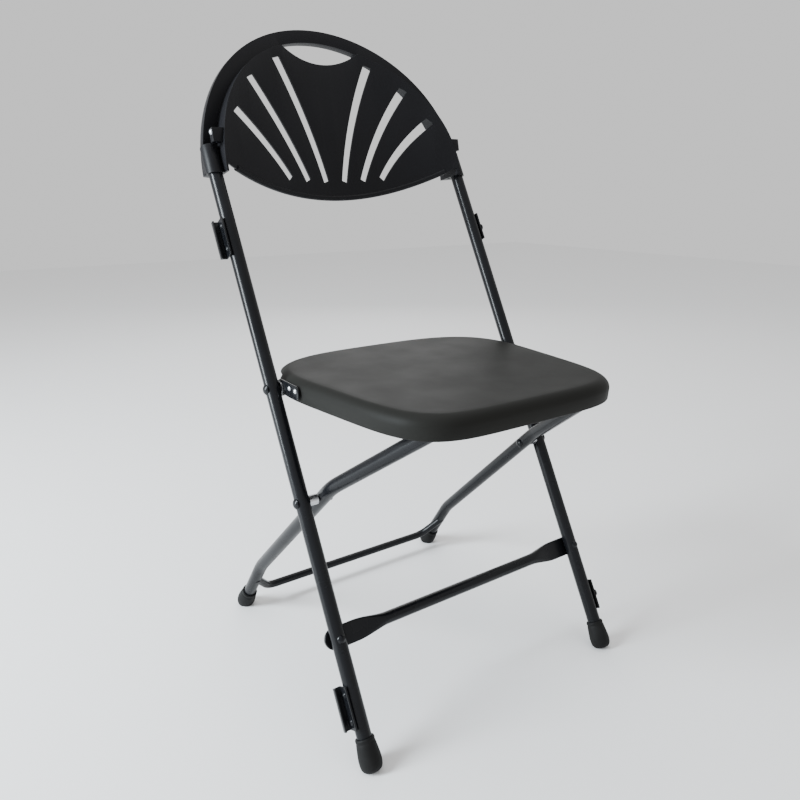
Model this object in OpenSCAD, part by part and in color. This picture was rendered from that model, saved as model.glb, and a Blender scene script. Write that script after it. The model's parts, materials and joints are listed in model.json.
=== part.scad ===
// Fan-back folding chair with side linking hardware.
// Millimetres. X runs across the chair, the front faces -Y and the floor is Z = 0.
// The straight tube posts pass the floor at Y = 0 and lean back.

/* [Posts] */
// Distance between the two post axes
post_pitch = 412; // [380:1:450]
// Outside diameter of the frame tubes
tube_d = 19; // [16:0.5:25]
// Wall of the frame tubes
tube_wall = 1.5; // [1:0.1:2.5]
// Lean of the posts from the vertical
post_lean = 28.6; // [15:0.1:32]
// Length of a post from the floor to its end inside the backrest
post_len = 813; // [760:1:860]

/* [Seat] */
// Height of the top face of the seat
seat_z = 437; // [400:1:470]
// Depth of the skirt round the seat
skirt_h = 28; // [18:1:40]
// Y of the front edge of the seat
seat_front = -39; // [-80:1:0]
// Y of the rear edge of the seat
seat_rear = 323; // [280:1:360]
// Half width of the seat beside the posts
seat_half = 191.5; // [160:0.5:200]
// Half width of the seat at its front corners
seat_half_front = 164; // [140:1:190]

/* [Folding] */
// Height of the seat hinge on the posts
seat_pivot_z = 420; // [400:1:440]
// Height of the pivot where post and rear leg cross
leg_pivot_z = 289; // [260:1:320]
// Diameter of the hinge rivets
pivot_d = 8; // [6:0.5:10]

/* [Backrest] */
// Lean of the backrest from the vertical
back_lean = 12.4; // [8:0.1:20]
// Height of the bottom edge of the backrest at its middle
back_z = 648; // [600:1:700]
// Y of the backrest at that edge
back_y = 407; // [360:1:440]
// Radius of the front edge of the arch
arch_r = 197; // [180:1:215]
// Radius of the hollow of the backrest seen from above
hollow_r = 346; // [300:1:500]
// Thickness of the backrest panel
panel_t = 3.5; // [3:0.5:8]

/* [Rear legs] */
// Y of the rear feet on the floor
rear_foot_y = 424; // [380:1:460]
// Diameter of the rear stretcher rod
rod_d = 12.5; // [10:0.5:16]
// Diameter of the front stretcher tube
bar_d = 16; // [12:0.5:20]

/* [Output] */
// Piece to draw, or all of them

/* [Hidden] */

$fn = 48;
origin_y = 219.2;         // the origin lies this far behind the front feet
black = [0.05, 0.05, 0.06];
satin = [0.12, 0.12, 0.13];
olive = [0.2, 0.2, 0.19];
rubber = [0.03, 0.03, 0.03];
zinc = [0.55, 0.56, 0.58];

tube_r = tube_d / 2;
post_x = post_pitch / 2;
slope = tan(post_lean);
seat_pivot = [seat_pivot_z * slope, seat_pivot_z];
leg_pivot = [leg_pivot_z * slope, leg_pivot_z];
bar_t = 158;             // place of the front stretcher along the post
link_t = [78, 687];      // places of the linking fittings along the post
plate_x = post_x + tube_r;

leg_foot = [190, rear_foot_y, 0];
leg_low = [185, 354, 100];
leg_bend = [175, 137, 309];
leg_top = [133, -8, 414];
leg_pivot_x = 176.2;
leg_end = leg_top + 6 * unit(leg_top - leg_bend);
rod_r = 4;               // radius of the rod across the tops of the rear legs

rail_x = 113;
rail_w = 14;
rail_edge = leg_top[2] + 6.2;
shell_under = seat_z - 7;

function flip(p, side) = [side * p[0], p[1], p[2]];
function unit(v) = v / norm(v);

// Everything fixed to the posts is drawn with Z along them and Y square to them.
module post_frame() {
    rotate([-post_lean, 0, 0]) children();
}

// The backrest is drawn with Z up its own lean, from the middle of its bottom edge.
module back_frame() {
    translate([0, back_y, back_z]) rotate([-back_lean, 0, 0]) children();
}

// Moves the chair so that the middle of its floor space is the origin.
module placed() {
    translate([0, -origin_y, 0]) children();
}

module both_sides() {
    for (side = [-1, 1]) scale_side(side) children();
}

module scale_side(side) {
    if (side < 0) mirror([1, 0, 0]) children();
    else children();
}

// Straight round bar between two points.
module bar(a, b, r) {
    v = b - a;
    translate(a)
        rotate([0, acos(v[2] / norm(v)), atan2(v[1], v[0])])
            cylinder(r = r, h = norm(v));
}

// Round bar along points. A ball a trace wider than the bar closes each slight corner.
module jointed_bar(p, r) {
    for (i = [0 : len(p) - 2]) bar(p[i], p[i + 1], r);
    for (i = [1 : len(p) - 2]) {
        v = p[i] - p[i - 1];
        translate(p[i]) rotate([0, acos(v[2] / norm(v)), atan2(v[1], v[0])]) sphere(r + 0.15);
    }
}

// Points that round the corner at b with short straight steps.
function rounded(a, b, c, bend, steps) =
    let (u = unit(a - b), v = unit(c - b), half = acos(u * v) / 2,
         centre = b + unit(u + v) * bend / sin(half),
         x = unit(b + u * bend / tan(half) - centre),
         n = unit(cross(x, b + v * bend / tan(half) - centre)),
         y = cross(n, x), swing = 180 - 2 * half)
    [for (i = [0 : steps]) centre + bend * (x * cos(i * swing / steps) + y * sin(i * swing / steps))];

// Pin across the chair at a side-view place, from x1 to x2.
module cross_pin(place, x1, x2, r) {
    translate([x1, place[0], place[1]]) rotate([0, 90, 0]) cylinder(r = r, h = x2 - x1);
}

// Low domed head that faces along +Z.
module dome(r, h) {
    ball = (r * r + h * h) / (2 * h);
    translate([0, 0, h - ball]) intersection() {
        sphere(r = ball, $fn = 64);
        translate([-r, -r, ball - h]) cube([2 * r, 2 * r, h + 1]);
    }
}

// ---- Posts ----

post_start = 8;          // the posts begin on the floor inside their feet

module post() {
    difference() {
        post_frame() translate([post_x, 0, post_start]) difference() {
            cylinder(r = tube_r, h = post_len - post_start);
            translate([0, 0, -1]) cylinder(r = tube_r - tube_wall, h = post_len);
        }
        cross_pin(seat_pivot, post_x - 20, post_x + 20, pivot_d / 2);
        cross_pin(leg_pivot, post_x - 20, post_x + 20, pivot_d / 2);
        post_frame() translate([post_x, -20, bar_t])
            rotate([-90, 0, 0]) cylinder(d = 6, h = 40);
        post_frame() for (t = link_t, d = [-16, 16])
            translate([post_x, 0, t + d]) rotate([0, 90, 0]) cylinder(d = 4, h = 20);
    }
}

module post_left() {
    color(black) mirror([1, 0, 0]) post();
}

module post_right() {
    color(black) post();
}

// ---- Front stretcher: a round tube with its ends pressed flat ----

flat_t = 4;
flat_h = 27;
flat_len = 34;
bar_y = tube_r + flat_t / 2;

module flat_end() {
    translate([post_x, bar_y, bar_t]) rotate([90, 0, 0])
        translate([0, 0, -flat_t / 2]) difference() {
            union() {
                cylinder(d = flat_h, h = flat_t);
                translate([-flat_len, -flat_h / 2, 0]) cube([flat_len, flat_h, flat_t]);
                translate([-flat_len, 0, 0]) cylinder(d = flat_h, h = flat_t);
            }
            translate([0, 0, -1]) cylinder(d = 6, h = flat_t + 2);
        }
}

module front_stretcher() {
    reach = post_x - flat_len - 8;
    color(black) post_frame() {
        both_sides() flat_end();
        translate([-reach, bar_y, bar_t]) rotate([0, 90, 0]) difference() {
            cylinder(d = bar_d, h = 2 * reach);
            translate([0, 0, 14]) cylinder(d = bar_d - 2.4, h = 2 * reach - 28);
        }
    }
}

module stretcher_rivets() {
    head = 3;
    color(black) post_frame() both_sides() translate([post_x, 0, bar_t]) {
        translate([0, -tube_r, 0]) rotate([-90, 0, 0]) cylinder(d = 6, h = tube_d + flat_t);
        translate([0, -tube_r + 0.6, 0]) rotate([90, 0, 0]) dome(5.5, head + 0.6);
        translate([0, tube_r + flat_t, 0]) rotate([-90, 0, 0]) dome(5.5, head);
    }
}

// ---- Backrest: hollow fan panel inside a deep arched rim ----

arch_z = 34;             // height of the arch centre over the bottom edge
rim_r = 216.6;           // radius of the rear edge of the rim
rim_wall = 3.5;          // wall that joins the front edge to the rear flange
flange_t = 12;
rear_r = 623;
rim_deep = 17;
side_cut = 27;           // height of the lower ends of the rim
socket_wall = 2.6;       // plastic round the post ends
grip_half = 64;          // half width of the hand slot

// Straight block along the local Y axis from a circle of radius r.
module disc(r, z, y1 = -90, y2 = 40, fn = 120) {
    translate([0, y2, z]) rotate([90, 0, 0]) cylinder(r = r, h = y2 - y1, $fn = fn);
}

// Space between the hollow front face, moved back by d, and a face behind it.
module behind_front(d) {
    difference() {
        translate([-260, -100, -10]) cube([520, 160, 300]);
        translate([0, d - hollow_r, -20]) cylinder(r = hollow_r, h = 320, $fn = 180);
    }
}

module ahead_of_rear(d) {
    intersection() {
        translate([-260, -100, -10]) cube([520, 160, 300]);
        translate([0, d - rear_r, -20]) cylinder(r = rear_r, h = 320, $fn = 220);
    }
}

slot_inner = [[16, 27], [48, 28], [79.5, 29.5]];
slot_outer = [[78, 201], [130, 165], [164, 114]];
slot_bow = 6;            // how far a slot bows towards the middle of the panel
slot_w = [9.5, 13.5];    // widths of a slot at its inner and outer end

// Inside of the circle that bows past the line from a to b.
module bowed_side(a, b, y1 = -90, y2 = 40) {
    chord = norm(b - a);
    ring = chord * chord / (8 * slot_bow) + slot_bow / 2;
    n = [a[1] - b[1], b[0] - a[0]] / chord;
    centre = (a + b) / 2 - n * (ring - slot_bow);
    translate([centre[0], y2, centre[1]]) rotate([90, 0, 0])
        cylinder(r = ring, h = y2 - y1, $fn = 360);
}

// Slot from a to b between two bowed sides, wider at b.
module fan_slot(a, b) {
    n = unit([a[1] - b[1], b[0] - a[0]]);
    difference() {
        intersection() {
            bowed_side(a + n * slot_w[0] / 2, b + n * slot_w[1] / 2);
            translate([a[0], 40, a[1]])
                rotate([90, 0, 0]) rotate([0, 0, atan2(b[1] - a[1], b[0] - a[0])])
                    translate([0, -30, 0]) cube([norm(b - a), 60, 130]);
        }
        bowed_side(a - n * slot_w[0] / 2, b - n * slot_w[1] / 2, -91, 41);
    }
}

module back_panel() {
    bottom_r = 525;
    difference() {
        intersection() {
            disc(arch_r - 1, arch_z);
            disc(bottom_r, bottom_r, fn = 240);
            behind_front(0);
            translate([0, panel_t - hollow_r, 0])
                cylinder(r = hollow_r, h = 260, $fn = 180);
        }
        disc(113, 313);
        for (i = [0 : 2]) both_sides() fan_slot(slot_inner[i], slot_outer[i]);
    }
}

module back_rim() {
    difference() {
        intersection() {
            union() {
                disc(arch_r, arch_z);
                difference() {
                    disc(rim_r, arch_z);
                    ahead_of_rear(rim_deep - flange_t);
                }
            }
            behind_front(0);
            ahead_of_rear(rim_deep);
        }
        disc(arch_r - rim_wall, arch_z, -95, 45);
        intersection() {
            disc(arch_r + 1.5, arch_z, -95, 45);
            translate([-grip_half, -100, 190]) cube([2 * grip_half, 160, 80]);
        }
    }
}

// Round sleeve of the rim that takes the end of a post.
module post_socket() {
    post_frame() translate([post_x, 0, 760])
        cylinder(r = tube_r + socket_wall, h = post_len + 3 - 760);
}

module post_bore() {
    post_frame() translate([post_x, 0, 700]) cylinder(r = tube_r + 0.05, h = post_len - 700);
}

module backrest() {
    color(satin) difference() {
        union() {
            back_frame() back_panel();
            difference() {
                union() {
                    back_frame() back_rim();
                    both_sides() post_socket();
                }
                back_frame() translate([-300, -150, side_cut - 120]) cube([600, 250, 120]);
            }
        }
        both_sides() post_bore();
        both_sides() lug_block(0);
    }
}

lug_place = [190, -54, 66];
lug_size = [17, 11, 18];

// Block between the front edge and the rear flange that holds the back on its post.
module lug_block(gap) {
    back_frame() translate(lug_place - [gap, gap, gap])
        cube(lug_size + [gap, 2 * gap, 2 * gap]);
}

module lug_screw_place() {
    back_frame() translate(lug_place + [3, 5.5, 13]) rotate([0, 90, 0]) children();
}

module backrest_lugs() {
    color(satin) both_sides() difference() {
        lug_block(-0.05);
        lug_screw_place() cylinder(d = 4, h = 30);
    }
}

module backrest_screws() {
    color(zinc) both_sides() lug_screw_place() {
        cylinder(d = 4, h = lug_size[0] - 3);
        translate([0, 0, lug_size[0] - 3.05]) dome(4, 2.4);
    }
}

// ---- Feet ----

module foot_profile() {
    rotate_extrude() polygon([[0, -3], [9, -3], [12.6, -1], [14.2, 4], [14.3, 10],
        [13, 22], [11.6, 30], [11, 35], [10.2, 37], [tube_r, 37], [tube_r, 5], [0, 5]]);
}

module grounded() {
    intersection() {
        children();
        translate([-400, -200, 0]) cube([800, 1000, 100]);
    }
}

module front_foot() {
    grounded() post_frame() translate([post_x, 0, 3]) foot_profile();
}

module rear_foot() {
    v = unit(leg_low - leg_foot);
    grounded() translate(leg_foot + v * 3)
        rotate([0, acos(v[2]), atan2(v[1], v[0])]) rotate([0, 0, 90]) foot_profile();
}

module foot_front_left() {
    color(rubber) mirror([1, 0, 0]) front_foot();
}

module foot_front_right() {
    color(rubber) front_foot();
}

module foot_rear_left() {
    color(rubber) mirror([1, 0, 0]) rear_foot();
}

module foot_rear_right() {
    color(rubber) rear_foot();
}

// ---- Linking hardware: receivers on one side, studs on the other ----

link_out = 10.2;         // how far the fittings stand out from the posts

// Channel, open to the front, whose lip goes behind the head of a neighbour's stud.
module receiver(t) {
    post_frame() translate([-plate_x, 0, t]) difference() {
        union() {
            translate([-2, -8, -26]) cube([2, 18, 52]);
            translate([-link_out, 8, -26]) cube([link_out, 2, 52]);
            translate([-link_out, 4.4, -26]) cube([2, 5.6, 52]);
        }
        for (d = [-16, 16]) translate([-3, 0, d]) rotate([0, 90, 0]) cylinder(d = 4, h = 4);
    }
}

module receiver_upper() {
    color(black) receiver(link_t[1]);
}

module receiver_lower() {
    color(black) receiver(link_t[0]);
}

module stud_plate(t) {
    post_frame() translate([plate_x, 0, t]) difference() {
        translate([0, -8, -22]) cube([3, 16, 44]);
        for (d = [-16, 16]) translate([-1, 0, d]) rotate([0, 90, 0]) cylinder(d = 4, h = 6);
        translate([-1, 0, 0]) rotate([0, 90, 0]) cylinder(d = 5, h = 6);
    }
}

module stud_plate_upper() {
    color(black) stud_plate(link_t[1]);
}

module stud_plate_lower() {
    color(black) stud_plate(link_t[0]);
}

module link_studs() {
    color(black) post_frame() for (t = link_t) translate([plate_x, 0, t]) rotate([0, 90, 0])
        rotate_extrude() polygon([[0, 0.2], [2.5, 0.2], [2.5, 3], [3.25, 3], [3.25, 7],
            [5.5, 7], [5.5, 8.6], [4.6, 9.5], [2.6, 10], [0, link_out]]);
}

module link_rivets() {
    color(black) post_frame() for (t = link_t, d = [-16, 16]) {
        translate([-plate_x, 0, t + d]) rotate([0, -90, 0]) {
            translate([0, 0, -4]) cylinder(d = 4, h = 6);
            translate([0, 0, 1.9]) dome(3.6, 1.8);
        }
        translate([plate_x, 0, t + d]) rotate([0, 90, 0]) {
            translate([0, 0, -4]) cylinder(d = 4, h = 7);
            translate([0, 0, 2.9]) dome(3.6, 1.8);
        }
    }
}

// ---- Pivots ----

hinge_t = 2.4;
washer_x = post_x - tube_r;
hinge_x = washer_x - 2.1;

module pivot_rivet(place, inner) {
    cross_pin(place, inner, plate_x + 0.4, pivot_d / 2);
    translate([plate_x - 0.4, place[0], place[1]]) rotate([0, 90, 0]) dome(7, 3.6);
}

module seat_pivot_rivets() {
    color(black) both_sides() {
        pivot_rivet(seat_pivot, hinge_x - hinge_t - 0.3);
        cross_pin(seat_pivot, hinge_x - hinge_t - 2.6, hinge_x - hinge_t - 0.25, 6.5);
    }
}

module seat_pivot_washers() {
    color(zinc) both_sides() difference() {
        cross_pin(seat_pivot, washer_x - 1.8, washer_x, 8);
        cross_pin(seat_pivot, washer_x - 3, washer_x + 3, pivot_d / 2);
        post_frame() translate([post_x, 0, 0]) cylinder(r = tube_r, h = post_len);
    }
}

module leg_pivot_rivets() {
    inner = leg_pivot_x - tube_r - 0.6;
    color(black) both_sides() {
        pivot_rivet(leg_pivot, inner);
        translate([inner + 0.1, leg_pivot[0], leg_pivot[1]]) rotate([0, -90, 0]) dome(6.5, 3);
    }
}

module leg_pivot_spacers() {
    near = leg_pivot_x + tube_r + 0.6;
    color(zinc) both_sides() difference() {
        cross_pin(leg_pivot, near, washer_x + 1.5, 6.8);
        cross_pin(leg_pivot, near - 1, washer_x + 3, pivot_d / 2);
        post_frame() translate([post_x, 0, 0]) cylinder(r = tube_r, h = post_len);
    }
}

// ---- Seat ----

seat_mid = (seat_front + seat_rear) / 2;
seat_len = (seat_rear - seat_front) / 2;
seat_half_rear = 208;
skirt_t = 3.4;
seat_steps = 96;

function power(v, e) = sign(v) * pow(abs(v), e);

// Rounded seat outline, wider at the rear, drawn in by gap on every side.
function seat_edge(a, gap) =
    let (front = cos(a) > 0, e = front ? 0.38 : 0.62,
         y = seat_mid - (seat_len - gap) * power(cos(a), e),
         w = seat_half_rear + (seat_half_front - seat_half_rear)
             * (seat_rear - y) / (2 * seat_len),
         x = (w - gap) * power(sin(a), e))
    [max(-seat_half + gap, min(seat_half - gap, x)), y];

module seat_slice(gap, z1, z2) {
    translate([0, 0, z1]) linear_extrude(z2 - z1)
        polygon([for (i = [0 : seat_steps - 1]) seat_edge(i * 360 / seat_steps, gap)]);
}

module seat_body() {
    seat_slice(0, seat_z - skirt_h, seat_z - 9);
    seat_slice(0.5, seat_z - 9.01, seat_z - 5);
    seat_slice(1.6, seat_z - 5.01, seat_z - 3);
    seat_slice(3.2, seat_z - 3.01, seat_z - 1.4);
    seat_slice(5.8, seat_z - 1.41, seat_z);
}

module seat_shell() {
    dish = [[0, 1], [168, 1], [168, 0], [140, -0.7], [100, -1.7], [50, -2.7], [0, -3]];
    notch_y = seat_pivot[0] + 16;
    color(olive) difference() {
        seat_body();
        difference() {
            seat_slice(skirt_t, seat_z - skirt_h - 1, shell_under);
            for (x = [-80, -40, 0, 40, 80])
                translate([x - 1.2, seat_front, rail_edge + 1]) cube([2.4, 400, 40]);
            for (y = [60, 150, 240])
                translate([-105, y - 1.2, rail_edge + 1]) cube([210, 2.4, 40]);
        }
        translate([0, 140, seat_z]) rotate_extrude($fn = 96) polygon(dish);
        both_sides() {
            cross_pin(seat_pivot, seat_half - 12, seat_half + 5, 9);
            bar(leg_bend, leg_end + unit(leg_end - leg_bend), tube_r + 0.8);
            translate([138, notch_y, seat_z - skirt_h - 1])
                cube([60, 120, skirt_h + 1 - 5]);
            for (d = hinge_holes)
                cross_pin(seat_pivot - d, seat_half - 8, seat_half + 5, 1.6);
        }
    }
}

hinge_holes = [[24, -4], [40, -4]];

// Steel plate on the side of the seat that turns on the post.
module seat_hinge() {
    difference() {
        translate([hinge_x - hinge_t, 0, 0]) union() {
            cross_pin(seat_pivot, 0, hinge_t, 11);
            translate([0, seat_pivot[0] - 40, seat_pivot[1] - 7])
                cube([hinge_t, 40, 18]);
            cross_pin(seat_pivot - [40, -2], 0, hinge_t, 9);
        }
        cross_pin(seat_pivot, 180, 200, pivot_d / 2 + 0.05);
        for (d = hinge_holes) cross_pin(seat_pivot - d, 180, 200, 2);
    }
}

module seat_hinge_left() {
    color(black) mirror([1, 0, 0]) seat_hinge();
}

module seat_hinge_right() {
    color(black) seat_hinge();
}

module hinge_screws() {
    color(zinc) both_sides() for (d = hinge_holes) {
        cross_pin(seat_pivot - d, seat_half - 7.8, hinge_x - 0.1, 1.6);
        translate([hinge_x - 0.2, (seat_pivot - d)[0], (seat_pivot - d)[1]])
            rotate([0, 90, 0]) dome(3.6, 1.8);
    }
}

// Steel channel under the seat that rests on the cross rod.
rail_front = leg_top[1] - 14;
rail_len = 214;
rail_holes = [14, 107, 200];

module seat_rail() {
    wall = 2;
    translate([rail_x - rail_w / 2, rail_front, 0]) difference() {
        union() {
            translate([0, 0, rail_edge]) cube([rail_w, rail_len, shell_under - rail_edge]);
            translate([0, 0, leg_top[2] - 8]) cube([rail_w, 7.6, 20]);
        }
        translate([wall, 9.6, rail_edge - 1])
            cube([rail_w - 2 * wall, rail_len - 11.6, shell_under - rail_edge - 1]);
        for (y = rail_holes) translate([rail_w / 2, y, shell_under - 12])
            cylinder(d = 3.4, h = 14);
    }
}

module seat_rail_left() {
    color(black) mirror([1, 0, 0]) seat_rail();
}

module seat_rail_right() {
    color(black) seat_rail();
}

module rail_screws() {
    color(zinc) both_sides() for (y = [rail_holes[1], rail_holes[2]])
        translate([rail_x, rail_front + y, shell_under - 2]) {
            cylinder(d = 3.4, h = 5.5);
            rotate([180, 0, 0]) dome(3.6, 2);
        }
}

// ---- Rear leg frame ----

module rear_leg() {
    v = unit(leg_low - leg_foot);
    color(black) difference() {
        jointed_bar([leg_foot + v * 8, leg_low, leg_bend, leg_end], tube_r);
        jointed_bar([leg_foot + v * 7, leg_low, leg_bend, leg_end + unit(leg_end - leg_bend)],
                    tube_r - tube_wall);
        cross_pin([leg_top[1], leg_top[2]], 100, 200, rod_r);
        cross_pin(leg_pivot, 100, 200, pivot_d / 2 + 0.05);
    }
}

module rear_leg_left() {
    mirror([1, 0, 0]) rear_leg();
}

module rear_leg_right() {
    rear_leg();
}

module rear_stretcher() {
    top = [187.5, 371, 68];
    low = [158, 397, 33];
    middle = [0, low[1], low[2]];
    color(black) both_sides() difference() {
        jointed_bar(concat([middle], rounded(middle, low, top, 28, 3), [top]), rod_d / 2);
        bar(leg_foot, leg_low, tube_r);
    }
}

module cross_rod() {
    reach = leg_top[0] + tube_r - 0.5;
    color(zinc) {
        cross_pin([leg_top[1], leg_top[2]], -reach, reach, rod_r);
        both_sides() translate([reach - 0.1, leg_top[1], leg_top[2]])
            rotate([0, 90, 0]) dome(5, 1.2);
    }
}

// Sleeves that turn on the cross rod under the rails.
module rod_sleeves() {
    color(satin) both_sides() difference() {
        cross_pin([leg_top[1], leg_top[2]], rail_x - 8.5, rail_x + 8.5, 5.9);
        cross_pin([leg_top[1], leg_top[2]], rail_x - 10, rail_x + 10, rod_r);
    }
}

placed() post_left();
placed() post_right();
placed() front_stretcher();
placed() stretcher_rivets();
placed() backrest();
placed() backrest_lugs();
placed() backrest_screws();
placed() foot_front_left();
placed() foot_front_right();
placed() receiver_upper();
placed() receiver_lower();
placed() stud_plate_upper();
placed() stud_plate_lower();
placed() link_studs();
placed() link_rivets();
placed() seat_pivot_rivets();
placed() seat_pivot_washers();
placed() leg_pivot_rivets();
placed() leg_pivot_spacers();
placed() seat_shell();
placed() seat_rail_left();
placed() seat_rail_right();
placed() rail_screws();
placed() seat_hinge_left();
placed() seat_hinge_right();
placed() hinge_screws();
placed() rear_leg_left();
placed() rear_leg_right();
placed() rear_stretcher();
placed() cross_rod();
placed() rod_sleeves();
placed() foot_rear_left();
placed() foot_rear_right();
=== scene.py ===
# Folding chair with a fan back: detailed pieces and finishes around the fixed frame.
import json
import math
import bpy
from mathutils import Euler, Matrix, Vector


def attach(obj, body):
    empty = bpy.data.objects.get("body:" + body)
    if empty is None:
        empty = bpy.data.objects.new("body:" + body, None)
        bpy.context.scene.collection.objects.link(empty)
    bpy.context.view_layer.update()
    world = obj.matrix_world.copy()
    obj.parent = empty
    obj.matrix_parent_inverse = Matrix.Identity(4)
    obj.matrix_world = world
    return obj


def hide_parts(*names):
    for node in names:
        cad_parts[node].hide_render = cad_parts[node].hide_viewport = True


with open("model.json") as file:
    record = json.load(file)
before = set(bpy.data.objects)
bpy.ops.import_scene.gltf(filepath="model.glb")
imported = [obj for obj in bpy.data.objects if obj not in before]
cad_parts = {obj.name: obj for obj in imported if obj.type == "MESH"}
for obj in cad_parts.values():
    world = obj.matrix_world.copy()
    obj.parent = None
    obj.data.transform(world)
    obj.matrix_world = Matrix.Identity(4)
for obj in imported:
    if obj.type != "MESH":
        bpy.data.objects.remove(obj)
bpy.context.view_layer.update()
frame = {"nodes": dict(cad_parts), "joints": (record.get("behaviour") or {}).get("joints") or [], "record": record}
nodes = frame["nodes"]
print("frame loaded:", len(nodes), "nodes")

chair = {
    "originBehindFeet": 0.2192,  # the posts pass the floor this far in front of the origin
    "postX": 0.206,
    "postLean": math.radians(28.6),
    "tubeRadius": 0.0095,
    "backLean": math.radians(12.4),
    "backPlace": (0.407, 0.648),  # y and z of the middle of the back's lower edge
}


def onPost(x, behind, along):
    c, s = math.cos(chair["postLean"]), math.sin(chair["postLean"])
    y = behind * c + along * s - chair["originBehindFeet"]
    return Vector((x, y, along * c - behind * s))


def onBack(x, behind, up):
    c, s = math.cos(chair["backLean"]), math.sin(chair["backLean"])
    y = behind * c + up * s + chair["backPlace"][0] - chair["originBehindFeet"]
    return Vector((x, y, up * c - behind * s + chair["backPlace"][1]))


# a finish has two close colours, patchy roughness and a fine grain
noiseRange = {"low": 0.35, "high": 0.65}  # most of the noise lies between these


def makeMaterial(name, look):
    material = bpy.data.materials.new(name)
    material.use_nodes = True
    tree = material.node_tree
    shader = tree.nodes["Principled BSDF"]
    shader.inputs["Metallic"].default_value = look.get("metallic", 0.0)
    shader.inputs["Specular IOR Level"].default_value = look.get("specular", 0.5)
    shader.inputs["Coat Weight"].default_value = look.get("coat", 0.0)
    shader.inputs["Coat Roughness"].default_value = look.get("coatRoughness", 0.1)
    place = tree.nodes.new("ShaderNodeTexCoord")

    def noise(scale, detail):
        pattern = tree.nodes.new("ShaderNodeTexNoise")
        pattern.inputs["Scale"].default_value = scale
        pattern.inputs["Detail"].default_value = detail
        tree.links.new(place.outputs["Object"], pattern.inputs["Vector"])
        return pattern.outputs["Fac"]

    def ranged(source, low, high):
        spread = tree.nodes.new("ShaderNodeMapRange")
        spread.inputs["From Min"].default_value = noiseRange["low"]
        spread.inputs["From Max"].default_value = noiseRange["high"]
        spread.inputs["To Min"].default_value = low
        spread.inputs["To Max"].default_value = high
        tree.links.new(source, spread.inputs["Value"])
        return spread.outputs["Result"]

    ramp = tree.nodes.new("ShaderNodeValToRGB")  # slow drift of colour over the surface
    ramp.color_ramp.elements[0].color = (*look["dark"], 1)
    ramp.color_ramp.elements[1].color = (*look["light"], 1)
    tree.links.new(ranged(noise(look["drift"], 3), 0, 1), ramp.inputs["Fac"])
    tree.links.new(ramp.outputs["Color"], shader.inputs["Base Color"])
    low, high = look["roughness"]
    tree.links.new(ranged(noise(look["patch"], 4), low, high), shader.inputs["Roughness"])
    bump = tree.nodes.new("ShaderNodeBump")
    bump.inputs["Strength"].default_value = look["grainStrength"]
    bump.inputs["Distance"].default_value = look["grainDepth"]
    tree.links.new(noise(look["grain"], 2), bump.inputs["Height"])
    tree.links.new(bump.outputs["Normal"], shader.inputs["Normal"])
    return material


finishes = {
    "black_steel": makeMaterial("glossBlackPaint", {
        "dark": (0.004, 0.0045, 0.0055), "light": (0.007, 0.0075, 0.009), "drift": 9,
        "roughness": (0.22, 0.3), "patch": 40, "grain": 900, "grainStrength": 0.08,
        "grainDepth": 0.0001, "specular": 0.14, "coat": 0.1, "coatRoughness": 0.16}),
    "back_plastic": makeMaterial("satinBackPlastic", {
        "dark": (0.0062, 0.0062, 0.0075), "light": (0.0082, 0.0082, 0.0098), "drift": 6,
        "roughness": (0.38, 0.44), "patch": 16, "grain": 1500, "grainStrength": 0.15,
        "grainDepth": 0.0001, "specular": 0.14}),
    "seat_plastic": makeMaterial("satinSeatPlastic", {
        "dark": (0.0118, 0.0119, 0.0108), "light": (0.0138, 0.0138, 0.0125), "drift": 5,
        "roughness": (0.46, 0.52), "patch": 14, "grain": 1300, "grainStrength": 0.2,
        "grainDepth": 0.00012, "specular": 0.06}),
    "sleeve_plastic": makeMaterial("blackNylon", {
        "dark": (0.012, 0.012, 0.012), "light": (0.018, 0.018, 0.018), "drift": 20,
        "roughness": (0.45, 0.6), "patch": 60, "grain": 1600, "grainStrength": 0.2,
        "grainDepth": 0.0001, "specular": 0.3}),
    "foot_rubber": makeMaterial("mattRubber", {
        "dark": (0.007, 0.007, 0.007), "light": (0.011, 0.011, 0.011), "drift": 45,
        "roughness": (0.5, 0.65), "patch": 90, "grain": 1800, "grainStrength": 0.25,
        "grainDepth": 0.00015, "specular": 0.1}),
    "zinc_steel": makeMaterial("zincPlate", {
        "dark": (0.4, 0.41, 0.43), "light": (0.6, 0.61, 0.63), "drift": 60,
        "roughness": (0.25, 0.42), "patch": 150, "grain": 1500, "grainStrength": 0.15,
        "grainDepth": 0.0001, "metallic": 1.0}),
}
slotOf = {s["node"]: s["material_slot"] for s in frame["record"]["subparts"]}
bodyOf = {n: b for b, group in frame["record"]["behaviour"]["bodies"].items() for n in group}
for name, piece in nodes.items():
    piece.data.materials.clear()
    piece.data.materials.append(finishes[slotOf[name]])
print("finishes made:", len(finishes))


def only(piece):
    if bpy.context.object and bpy.context.object.mode != "OBJECT":
        bpy.ops.object.mode_set(mode="OBJECT")
    bpy.ops.object.select_all(action="DESELECT")
    piece.select_set(True)
    bpy.context.view_layer.objects.active = piece


def finishPiece(piece, name, node, angle=35, replaced=None):
    piece.name = name
    piece.data.name = name
    only(piece)
    bpy.ops.object.transform_apply(location=True, rotation=True, scale=True)
    bpy.ops.object.shade_smooth_by_angle(angle=math.radians(angle))
    piece.data.materials.clear()
    piece.data.materials.append(finishes[slotOf[node]])
    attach(piece, bodyOf[node])
    for old in replaced if replaced is not None else [node]:
        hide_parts(old)
    return piece


mending = {"loftMerge": 1e-6, "copyMerge": 2e-6, "flatBelow": 0.6, "sharpAbove": 38}


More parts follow.
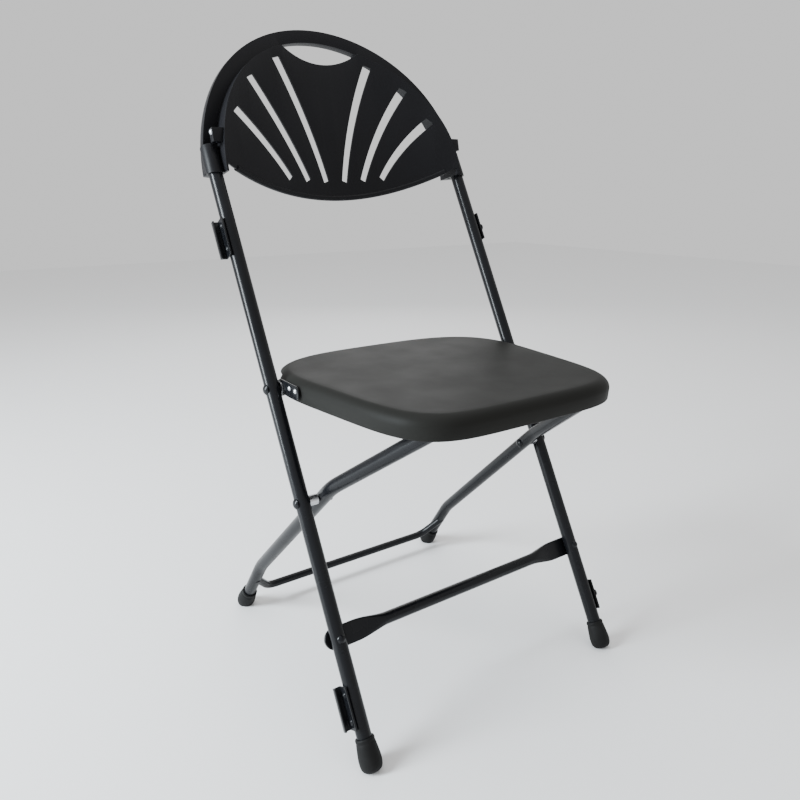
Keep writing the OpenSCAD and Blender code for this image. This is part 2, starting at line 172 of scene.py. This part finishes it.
def loft(rings, caps=True):  # a grid rolled up so that each row of it follows one ring of points
    rows, columns = len(rings), len(rings[0])
    bpy.ops.object.select_all(action="DESELECT")
    bpy.ops.mesh.primitive_grid_add(x_subdivisions=columns, y_subdivisions=rows - 1, size=1)
    piece = bpy.context.object
    across = columns + 1
    for i, vertex in enumerate(piece.data.vertices):
        vertex.co = rings[i // across][i % across % columns]
    bpy.ops.object.mode_set(mode="EDIT")
    bpy.ops.mesh.select_all(action="SELECT")
    bpy.ops.mesh.remove_doubles(threshold=mending["loftMerge"])
    if caps:
        bpy.ops.mesh.select_all(action="DESELECT")
        bpy.ops.mesh.select_non_manifold()
        bpy.ops.mesh.edge_face_add()
    bpy.ops.mesh.select_all(action="SELECT")
    bpy.ops.mesh.normals_make_consistent(inside=False)
    bpy.ops.object.mode_set(mode="OBJECT")
    return piece


def roundedPath(points, bend, steps=10):  # corners of a path turned into short arcs
    path = [Vector(points[0])]
    for before, corner, after in zip(points, points[1:], points[2:]):
        before, corner, after = Vector(before), Vector(corner), Vector(after)
        u, v = (before - corner).normalized(), (after - corner).normalized()
        back = bend / math.tan(u.angle(v) / 2)
        start, end = corner + u * back, corner + v * back
        for i in range(steps + 1):
            t = i / steps
            path.append(start * (1 - t) ** 2 + corner * 2 * t * (1 - t) + end * t * t)
    path.append(Vector(points[-1]))
    return path


def tubeRings(path, radius, around=32):
    rings = []
    side = Vector((1, 0, 0)) if abs((path[1] - path[0]).normalized().x) < 0.8 else Vector((0, 0, 1))
    for i, point in enumerate(path):
        ahead = path[min(i + 1, len(path) - 1)] - path[max(i - 1, 0)]
        ahead.normalize()
        up = ahead.cross(side).normalized()
        side = up.cross(ahead).normalized()
        rings.append([point + radius * (side * math.cos(2 * math.pi * k / around)
                                        + up * math.sin(2 * math.pi * k / around))
                      for k in range(around)])
    return rings


def softened(node, name, width, segments=3):  # copy of a frame piece with rounded edges
    piece = nodes[node].copy()
    piece.data = nodes[node].data.copy()
    piece.parent = None
    for key in list(piece.keys()):
        del piece[key]
    bpy.context.scene.collection.objects.link(piece)
    only(piece)
    bpy.ops.object.mode_set(mode="EDIT")
    bpy.ops.mesh.select_all(action="SELECT")
    bpy.ops.mesh.remove_doubles(threshold=mending["copyMerge"])
    bpy.ops.mesh.dissolve_limited(angle_limit=math.radians(mending["flatBelow"]))
    bpy.ops.object.mode_set(mode="OBJECT")
    if piece.data.has_custom_normals:
        bpy.ops.mesh.customdata_custom_splitnormals_clear()
    bevel = piece.modifiers.new("edges", "BEVEL")
    bevel.width = width
    bevel.segments = segments
    bevel.limit_method = "ANGLE"
    bevel.angle_limit = math.radians(mending["sharpAbove"])
    bpy.ops.object.modifier_apply(modifier=bevel.name)
    return finishPiece(piece, name, node, angle=30)


post = {"start": 0.008, "length": 0.805, "parts": 40}

for side, sign in (("left", -1), ("right", 1)):
    x = sign * chair["postX"]
    path = [onPost(x, 0, post["start"] + post["length"] * i / post["parts"])
            for i in range(post["parts"] + 1)]
    finishPiece(loft(tubeRings(path, chair["tubeRadius"])), side + "PostTube", "post_" + side)

rearLeg = {"foot": (0.190, 0.424, 0.0), "low": (0.185, 0.354, 0.100),
           "bend": (0.175, 0.137, 0.309), "top": (0.133, -0.008, 0.414),
           "past": 0.006, "start": 0.008, "bendRadius": 0.12, "bendSteps": 14}


def rearPlace(key, sign):
    x, y, z = rearLeg[key]
    return Vector((sign * x, y - chair["originBehindFeet"], z))


for side, sign in (("left", -1), ("right", 1)):
    foot, low, bend, top = (rearPlace(k, sign) for k in ("foot", "low", "bend", "top"))
    end = top + (top - bend).normalized() * rearLeg["past"]
    start = foot + (low - foot).normalized() * rearLeg["start"]
    path = roundedPath([start, low, bend, end], rearLeg["bendRadius"], rearLeg["bendSteps"])
    finishPiece(loft(tubeRings(path, chair["tubeRadius"])), side + "RearLegTube", "rear_leg_" + side)

rod = {"top": (0.187, 0.371, 0.068), "low": (0.158, 0.397, 0.033), "radius": 0.00625,
       "bendRadius": 0.028, "around": 24}


def rodPlace(key, sign):
    x, y, z = rod[key]
    return Vector((sign * x, y - chair["originBehindFeet"], z))


rodPath = roundedPath([rodPlace("top", -1), rodPlace("low", -1), rodPlace("low", 1),
                       rodPlace("top", 1)], rod["bendRadius"])
rodRings = tubeRings(rodPath, rod["radius"], rod["around"])
finishPiece(loft(rodRings), "bentRearRod", "rear_stretcher")
print("tubes made")

# front stretcher: a round tube with its ends pressed flat
pressed = {"along": 0.158, "behind": 0.0115, "radius": 0.008, "flatHeight": 0.0135,
           "flatHalf": 0.002, "flatFrom": 0.176, "roundTo": 0.128, "tip": 0.0025, "endRings": 8,
           "roundAt": [0.0, 0.06, 0.11], "turnsFlat": 0.124, "step": 0.004, "steps": 14,
           "flatAt": [0.186, 0.196, 0.206]}


def pressedRing(x, around=36):
    t = (abs(x) - pressed["roundTo"]) / (pressed["flatFrom"] - pressed["roundTo"])
    t = min(max(t, 0), 1)
    t = t * t * (3 - 2 * t)
    tall = pressed["radius"] * (1 - t) + pressed["flatHeight"] * t
    thick = pressed["radius"] * (1 - t) + pressed["flatHalf"] * t
    over = abs(x) - chair["postX"]
    if over > 0:
        tall *= math.sqrt(max(1 - (over / pressed["flatHeight"]) ** 2, pressed["tip"]))
    square = 2 + 4 * t  # power of the section, from a circle to nearly a box
    ring = []
    for k in range(around):
        a = 2 * math.pi * k / around
        c, s = math.cos(a), math.sin(a)
        u = math.copysign(abs(c) ** (2 / square), c) * thick
        v = math.copysign(abs(s) ** (2 / square), s) * tall
        ring.append(onPost(x, pressed["behind"] + u, pressed["along"] + v))
    return ring


half = pressed["roundAt"] + [pressed["turnsFlat"] + pressed["step"] * k for k in range(pressed["steps"])]
half += pressed["flatAt"]
half += [chair["postX"] + pressed["flatHeight"] * math.sin(math.pi / 2 * k / pressed["endRings"])
         for k in range(1, pressed["endRings"] + 1)]
stations = [-x for x in reversed(half[1:])] + half
finishPiece(loft([pressedRing(x) for x in stations]), "pressedFrontTube", "front_stretcher", 50)

# rubber feet: radius and place along the tube, from the sole up to the rolled mouth
boot = {"lift": 0.003, "smooth": 50, "profile": [
    (0.0000, -0.003), (0.0060, -0.003), (0.0095, -0.0022), (0.0120, -0.0003), (0.0134, 0.0025),
    (0.0141, 0.0065), (0.0143, 0.0110), (0.0140, 0.0160), (0.0134, 0.0215), (0.0127, 0.0270),
    (0.0121, 0.0310), (0.0117, 0.0318), (0.0117, 0.0326), (0.0121, 0.0334), (0.0121, 0.0355),
    (0.0116, 0.0368), (0.0106, 0.0372), (0.0097, 0.0368), (0.0097, 0.0340)]}


def footPiece(base, ahead, around=40):
    side = Vector((1, 0, 0))
    up = ahead.cross(side).normalized()
    side = up.cross(ahead).normalized()
    rings = []
    for radius, along in boot["profile"]:
        ring = []
        for k in range(around):
            a = 2 * math.pi * k / around
            point = base + ahead * along + radius * (side * math.cos(a) + up * math.sin(a))
            point.z = max(point.z, 0)  # the sole is flat on the floor
            ring.append(point)
        rings.append(ring)
    return loft(rings, caps=False)


for side, sign in (("left", -1), ("right", 1)):
    x = sign * chair["postX"]
    ahead = (onPost(x, 0, 1) - onPost(x, 0, 0)).normalized()
    piece = footPiece(onPost(x, 0, boot["lift"]), ahead)
    finishPiece(piece, side + "FrontBoot", "foot_front_" + side, boot["smooth"])
    foot, low = rearPlace("foot", sign), rearPlace("low", sign)
    ahead = (low - foot).normalized()
    piece = footPiece(foot + ahead * boot["lift"], ahead)
    finishPiece(piece, side + "RearBoot", "foot_rear_" + side, boot["smooth"])
print("feet made")

seat = {"top": 0.437, "skirt": 0.028, "front": -0.2582, "rear": 0.1038, "half": 0.1915,
        "halfFront": 0.164, "halfRear": 0.208, "wall": 0.0034, "around": 192, "dish": 0.003,
        "shellUnder": 0.430, "notchX": 0.138, "notchBehind": 0.016, "notchWide": 0.06,
        "notchDeep": 0.12, "notchRoof": 0.005, "roundOver": 0.014, "topRings": 24,
        "frontPower": 0.38, "rearPower": 0.62, "dishPower": 2.4, "middle": 0.02, "edgeRings": 10,
        "innerGap": 0.02, "cutBelow": 0.001}


def seatEdge(a, gap):
    power = seat["frontPower"] if math.cos(a) > 0 else seat["rearPower"]
    middle, length = (seat["front"] + seat["rear"]) / 2, (seat["rear"] - seat["front"]) / 2
    y = middle - (length - gap) * math.copysign(abs(math.cos(a)) ** power, math.cos(a))
    taper = (seat["halfFront"] - seat["halfRear"]) * (seat["rear"] - y) / (2 * length)
    width = seat["halfRear"] + taper
    x = (width - gap) * math.copysign(abs(math.sin(a)) ** power, math.sin(a))
    limit = seat["half"] - gap
    return max(-limit, min(limit, x)), y


def seatRing(gap, z, shrink=1.0):
    middle = (seat["front"] + seat["rear"]) / 2
    ring = []
    for k in range(seat["around"]):
        x, y = seatEdge(2 * math.pi * (k + 0.5) / seat["around"], gap)
        ring.append(Vector((x * shrink, middle + (y - middle) * shrink, z)))
    return ring


roundOver, underside = seat["roundOver"], seat["shellUnder"]
profile = []
for i in range(seat["topRings"]):  # the dished top, from the middle outwards
    share = seat["middle"] + (1 - seat["middle"]) * i / seat["topRings"]
    dip = seat["dish"] * max(0, 1 - share ** seat["dishPower"])
    profile.append(seatRing(roundOver, seat["top"] - dip, share))
for i in range(seat["edgeRings"] + 1):  # the rounded top edge
    a = math.pi / 2 * i / seat["edgeRings"]
    profile.append(seatRing(roundOver * (1 - math.sin(a)), seat["top"] - roundOver * (1 - math.cos(a))))
low = seat["top"] - seat["skirt"]
for gap, z in ((0.0003, low + 0.010), (0.0008, low + 0.0016), (0.0014, low + 0.0004), (0.0020, low),
               (seat["wall"] - 0.0004, low + 0.0001), (seat["wall"], low + 0.0008),
               (seat["wall"], underside - 0.003), (seat["wall"] + 0.003, underside),
               (seat["innerGap"], underside)):
    profile.append(seatRing(gap, z))  # down the skirt, round its rim and up inside
profile.append(seatRing(seat["innerGap"], underside, seat["middle"]))
shell = loft(profile)


def cutBox(piece, low, high):
    bpy.ops.object.select_all(action="DESELECT")
    place = [(a + b) / 2 for a, b in zip(low, high)]
    bpy.ops.mesh.primitive_cube_add(size=1, location=place)
    block = bpy.context.object
    block.scale = [b - a for a, b in zip(low, high)]
    only(piece)
    cut = piece.modifiers.new("cut", "BOOLEAN")
    cut.operation = "DIFFERENCE"
    cut.solver = "EXACT"
    cut.object = block
    bpy.ops.object.modifier_apply(modifier=cut.name)
    bpy.data.objects.remove(block)


hinge = [j for j in frame["joints"] if j["name"] == "seat_fold"][0]["pos_m"]
for sign in (-1, 1):
    a, b = sorted((sign * seat["notchX"], sign * (seat["notchX"] + seat["notchWide"])))
    y = hinge[1] + seat["notchBehind"]
    cutBox(shell, (a, y, low - seat["cutBelow"]),
           (b, y + seat["notchDeep"], seat["top"] - seat["notchRoof"]))
finishPiece(shell, "mouldedSeat", "seat_shell", 40)

# thin ribs under the seat, along it and across it
rib = {"low": 0.4212, "high": 0.4305, "thick": 0.0024, "front": -0.2550, "rear": 0.0985,
       "acrossHalf": 0.105, "alongX": (-0.08, -0.04, 0, 0.04, 0.08),
       "acrossY": (-0.1592, -0.0692, 0.0208)}
ribs = [((x, (rib["front"] + rib["rear"]) / 2), (rib["thick"], rib["rear"] - rib["front"]))
        for x in rib["alongX"]]
ribs += [((0, y), (2 * rib["acrossHalf"], rib["thick"])) for y in rib["acrossY"]]
bars = []
for (x, y), (wide, deep) in ribs:
    bpy.ops.object.select_all(action="DESELECT")
    bpy.ops.mesh.primitive_cube_add(size=1, location=(x, y, (rib["low"] + rib["high"]) / 2))
    bpy.context.object.scale = (wide, deep, rib["high"] - rib["low"])
    bars.append(bpy.context.object)
for piece in bars:
    piece.select_set(True)
bpy.ops.object.join()
finishPiece(bpy.context.object, "seatRibs", "seat_shell", replaced=[])
print("seat made")

softened("backrest", "fanBack", 0.0012)

# rolled lip along the lower edge of the back
lip = {"edgeRadius": 0.525, "hollow": 0.346, "half": 0.178, "radius": 0.0042, "inset": 0.003,
       "setBack": 0.0028, "around": 20, "parts": 60}
lipPath = []
for i in range(lip["parts"] + 1):
    x = lip["half"] * (2 * i / lip["parts"] - 1)
    up = lip["edgeRadius"] - math.sqrt(lip["edgeRadius"] ** 2 - x * x) + lip["inset"]
    behind = math.sqrt(lip["hollow"] ** 2 - x * x) - lip["hollow"] + lip["setBack"]
    lipPath.append(onBack(x, behind, up))
lipRings = tubeRings(lipPath, lip["radius"], lip["around"])
finishPiece(loft(lipRings), "rolledLip", "backrest", replaced=[])
fittings = {  # name of the softened piece and the width of its rounded edges
    "backrest_lugs": ("backLugs", 0.001), "receiver_upper": ("upperReceiver", 0.0006),
    "receiver_lower": ("lowerReceiver", 0.0006), "stud_plate_upper": ("upperStudPlate", 0.0006),
    "stud_plate_lower": ("lowerStudPlate", 0.0006), "seat_hinge_left": ("leftHingePlate", 0.0005),
    "seat_hinge_right": ("rightHingePlate", 0.0005), "seat_rail_left": ("leftSeatChannel", 0.0005),
    "seat_rail_right": ("rightSeatChannel", 0.0005)}
for node, (name, width) in fittings.items():
    softened(node, name, width, 2)
print("back and fittings made")

ground = {"size": 12, "grey": 0.9, "roughness": 0.9}
bpy.ops.object.select_all(action="DESELECT")
bpy.ops.mesh.primitive_plane_add(size=ground["size"], location=(0, 0, 0))
floor = bpy.context.object
floor.name = "floor"
paleFloor = bpy.data.materials.new("paleFloor")
paleFloor.use_nodes = True
shader = paleFloor.node_tree.nodes["Principled BSDF"]
shader.inputs["Base Color"].default_value = (ground["grey"], ground["grey"], ground["grey"], 1)
shader.inputs["Roughness"].default_value = ground["roughness"]
floor.data.materials.append(paleFloor)

softboxes = {
    "leftSoftbox": {"place": (-2.4, 0.5, 1.3), "aim": (0, 0, 0.5), "size": (0.6, 2.0), "power": 190,
                    "tint": (0.86, 0.94, 1)},
    "topSoftbox": {"place": (0.2, 0.3, 2.9), "aim": (0, 0, 0.4), "size": (2.4, 2.4), "power": 24,
                   "tint": (1, 1, 1)},
    "rearStrip": {"place": (1.4, 2.2, 1.6), "aim": (0, 0, 0.6), "size": (1.0, 1.8), "power": 10,
                  "tint": (1, 1, 1)},
}
for name, box in softboxes.items():
    data = bpy.data.lights.new(name, "AREA")
    data.shape = "RECTANGLE"
    data.size, data.size_y = box["size"]
    data.energy = box["power"]
    data.color = box["tint"]
    lamp = bpy.data.objects.new(name, data)
    lamp.location = box["place"]
    ray = Vector(box["aim"]) - Vector(box["place"])
    lamp.rotation_euler = ray.to_track_quat("-Z", "Y").to_euler()
    bpy.context.scene.collection.objects.link(lamp)

world = bpy.data.worlds.new("studio")
world.use_nodes = True
world.node_tree.nodes["Background"].inputs["Color"].default_value = (1, 1, 1, 1)
world.node_tree.nodes["Background"].inputs["Strength"].default_value = 0.85
bpy.context.scene.world = world

view = {"place": (-0.5615, -0.7854, 0.6643), "azimuth": 34.854, "down": 16.846, "lens": 31.39,
        "sensor": 36}
lens = bpy.data.cameras.new("camera")
lens.lens = view["lens"]
lens.sensor_width = view["sensor"]
camera = bpy.data.objects.new("camera", lens)
camera.location = view["place"]
camera.rotation_euler = Euler((math.radians(90 - view["down"]), 0, math.radians(-view["azimuth"])))
bpy.context.scene.collection.objects.link(camera)
bpy.context.scene.camera = camera
print("light and camera set")
